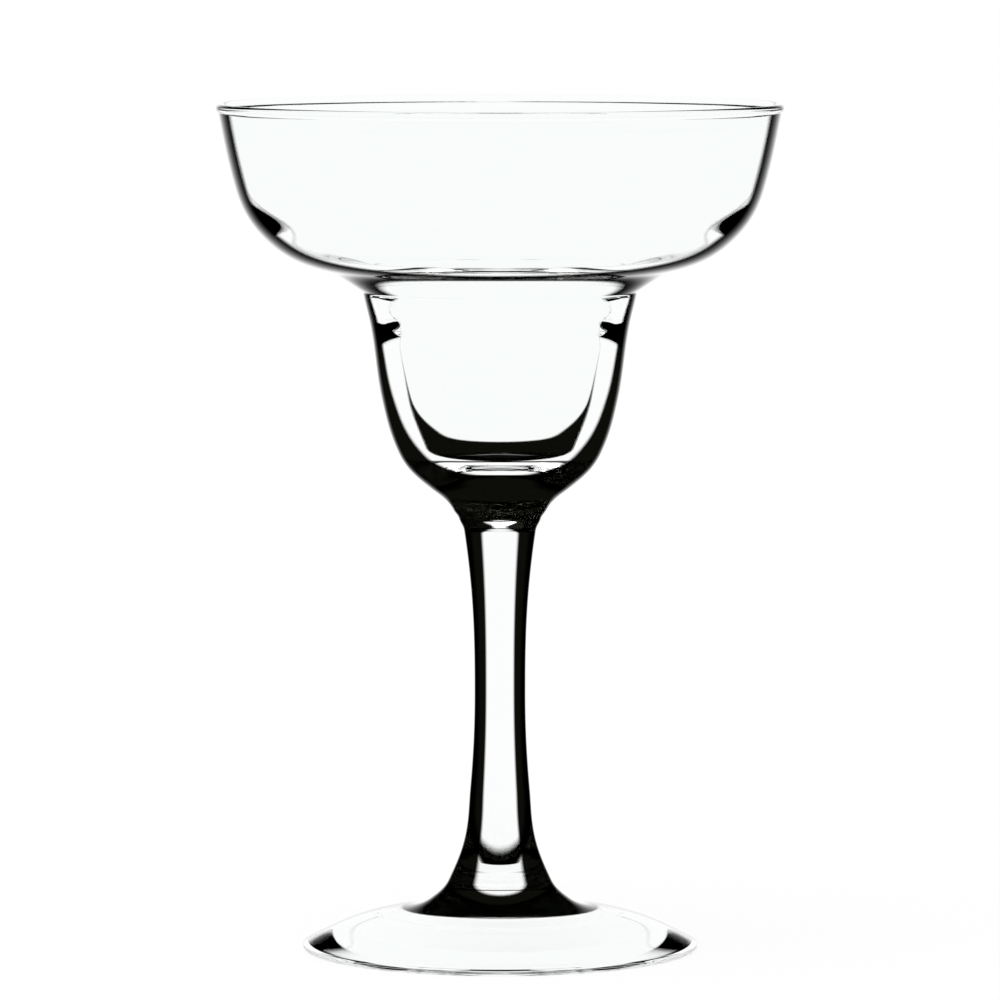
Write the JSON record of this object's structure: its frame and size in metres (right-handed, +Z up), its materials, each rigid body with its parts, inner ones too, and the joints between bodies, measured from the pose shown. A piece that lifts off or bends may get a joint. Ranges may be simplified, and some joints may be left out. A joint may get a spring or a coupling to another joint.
{
  "type": "margarita glass",
  "caption": "Clear stemmed cocktail glass: wide dish opening into a narrower cup, on a waisted solid stem with a round foot",
  "frame": {"origin": "centre of the foot, on the plane that it rests on", "axes": "+Z up along the axis of the stem, the glass is turned about Z"},
  "size_m": [0.115, 0.115, 0.172],
  "materials": {
    "clear_glass": "clear, fire-polished"
  },
  "bodies": {
    "root": {"foot": "clear_glass", "stem": "clear_glass", "bowl": "clear_glass"}
  },
  "joints": []
}
